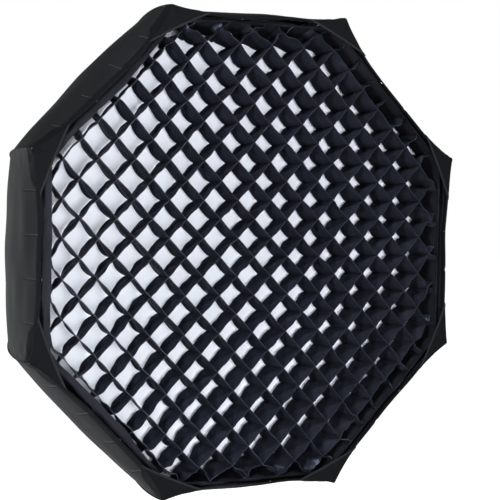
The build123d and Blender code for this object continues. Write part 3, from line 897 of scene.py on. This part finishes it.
def make_grid_band(m):
    """Border of the grid: a loose glossy band, drawn in at its front and folded between the strips' ends."""
    count = SIDES * 120
    starts = [(j / count, *octagon_point(j / count, GRID_APOTHEM - 0.0008)) for j in range(count)]
    net = []
    for level in range(BAND_HEM_LEVELS, 0, -1):
        net.append([turned_over(p, out, share, level / BAND_HEM_LEVELS) for share, p, out in starts])
    for level in range(BAND_LEVELS):
        deep = level / (BAND_LEVELS - 1)
        net.append([band_point(p, out, share, deep) for share, p, out in starts])
    uv = net_uvs([row + [row[0]] for row in net])
    cloth = Cloth()
    cloth.sheet(net, BAND_THICK, closed=True, uv=[line[:-1] for line in uv])
    piece = cloth.make("grid_band", [m["band"]])
    finish_piece(piece, "grid_border")


# ---------------------------------------------------------------- diffusers
def disc(m, name, node, apothem, depth, form):
    """Octagonal sheet stretched inside its hem; form gives how far it stands forward at a place."""
    net = []
    for i in range(DIFFUSER_RINGS):
        share = lerp(0.004, 1.0, i / (DIFFUSER_RINGS - 1))
        row = []
        for j in range(DIFFUSER_SPOKES):
            round_it = j / DIFFUSER_SPOKES
            p = octagon_point(round_it, apothem * share)[0]
            p.y = -(depth - 0.0004 + form(p, share, round_it))
            row.append(p)
        net.append(row)
    cloth = Cloth()
    cloth.sheet(net, DIFFUSER_THICK, closed=True, uv=[[(p.x, p.z) for p in row] for row in net])
    piece = cloth.make(name, [m["diffuser"]])
    finish_piece(piece, node)


def front_form(p, share, round_it):
    """Low dome with 56 small gathers just inside its rim."""
    turn = round_it * 2 * math.pi * 56 + 3 * rough(p.x, p.z, 0, 0.1)
    gather = 0.0048 * math.sin(turn) * smooth_step((share - 0.75) / 0.25) * (1 - share)
    slack = 0.0016 * rough(p.x, p.z, 0, 0.16, 2.0)
    return 0.004 * (1 - share ** 2) + gather + slack * (1 - share ** 4)


def inner_form(p, share, round_it):
    """Nearly flat, pulled into a shallow fan by its eight straps."""
    fan = 0.0035 * math.cos(round_it * 2 * math.pi * SIDES) * share ** 2
    return 0.0015 * rough(p.x, p.z, 1, 0.10, 3.0) - fan


def make_diffusers(m):
    disc(m, "diffuser_sheet", "front_diffuser", DIFFUSER_APOTHEM, DIFFUSER_DEPTH, front_form)
    disc(m, "baffle_sheet", "inner_baffle", BAFFLE_APOTHEM, BAFFLE_DEPTH, inner_form)


# ---------------------------------------------------------------- materials of the CAD nodes
def finish_nodes(m):
    finishes = {
        "insert": ["mount_ring", "retainer_ring"],
        "steel": ["bayonet_lugs", "lug_rivets", "retainer_screws", "cover_screws", "socket_screws",
                  "lock_stud", "strap_rings", "baffle_hooks", "rod_ferrules"],
        "cast": ["speedring_body", "speedring_cover"],
        "socket": ["rod_sockets"],
        "plastic": ["rod_tip_caps", "lock_knob"],
        "nylon": ["friction_shoe"],
        "binding": ["rod_loops", "rear_collar"],
        "elastic": ["collar_strap", "baffle_straps"],
        "tape": ["grid_hook_tape"],
        "hem": ["diffuser_hem", "baffle_hem", "baffle_tabs"],
        "rod": ["spring_rod_" + str(k + 1) for k in range(SIDES)],
    }
    for finish, names in finishes.items():
        for name in names:
            materials = NODES[name].data.materials
            for i in range(len(materials)):
                materials[i] = m[finish]
            if not materials:
                materials.append(m[finish])


# ---------------------------------------------------------------- studio
def area_light(name, place, target, size, power, colour):
    data = bpy.data.lights.new(name, "AREA")
    data.shape = "RECTANGLE"
    data.size = data.size_y = size
    data.energy = power
    data.color = colour
    light = bpy.data.objects.new(name, data)
    light.location = place
    aim = Vector(target) - Vector(place)
    light.rotation_mode = "QUATERNION"
    light.rotation_quaternion = aim.to_track_quat("-Z", "Y")
    bpy.context.scene.collection.objects.link(light)


def shade_ceiling(tree):
    """White walls all round, and a darker ceiling above them; Generated is the ray's direction."""
    where = tree.nodes.new("ShaderNodeTexCoord")
    parts = tree.nodes.new("ShaderNodeSeparateXYZ")
    ramp = tree.nodes.new("ShaderNodeValToRGB")
    ramp.color_ramp.elements[0].position = 0.13
    ramp.color_ramp.elements[0].color = (1, 1, 1, 1)
    ramp.color_ramp.elements[1].position = 0.45
    ramp.color_ramp.elements[1].color = (0.22, 0.22, 0.22, 1)
    tree.links.new(where.outputs["Generated"], parts.inputs[0])
    tree.links.new(parts.outputs["Z"], ramp.inputs["Fac"])
    tree.links.new(ramp.outputs["Color"], tree.nodes["Background"].inputs["Color"])
    tree.nodes["Background"].inputs["Strength"].default_value = 1.0


def make_studio():
    world = bpy.data.worlds.new("studio")
    world.use_nodes = True
    shade_ceiling(world.node_tree)
    bpy.context.scene.world = world
    area_light("key_front", (-0.8, -3.4, -0.2), (0, -0.4, 0), 1.2, 104, (0.95, 0.97, 1.0))
    area_light("top_front", (-0.3, -1.7, 2.1), (0, -0.4, 0), 0.4, 150, (0.86, 0.92, 1.0))
    area_light("near_left", (-1.7, -1.6, -0.14), (0, -0.4, 0), 0.35, 84, (0.86, 0.92, 1.0))
    area_light("back_left", (-1.7, 2.2, -0.2), (-0.4, -0.3, 0), 0.9, 34, (0.95, 1.0, 1.0))
    bpy.context.scene.view_settings.view_transform = "Standard"
    make_floor()


def make_floor():
    """White floor that glows a little, so that the background stays white as in the photograph."""
    mesh = bpy.data.meshes.new("floor")
    ends = ((-1, -1), (1, -1), (1, 1), (-1, 1))
    corners = [(x * FLOOR_REACH, y * FLOOR_REACH, FLOOR_LEVEL) for x, y in ends]
    mesh.from_pydata(corners, [], [(0, 1, 2, 3)])
    floor = bpy.data.objects.new("floor", mesh)
    n = Nodes("pale_floor")
    n.set(Base_Color=(0.93, 0.93, 0.93, 1), Roughness=0.9, Specular_IOR_Level=0.1)
    n.set(Emission_Color=(1, 1, 1, 1), Emission_Strength=0.8)
    mesh.materials.append(n.material)
    bpy.context.scene.collection.objects.link(floor)


make_camera()
materials = make_materials()
make_studio()
make_shell(materials)
make_shell_trim(materials)
make_binding(materials)
make_gussets(materials)
make_grid(materials)
make_grid_band(materials)
make_diffusers(materials)
finish_nodes(materials)

bpy.context.view_layer.update()
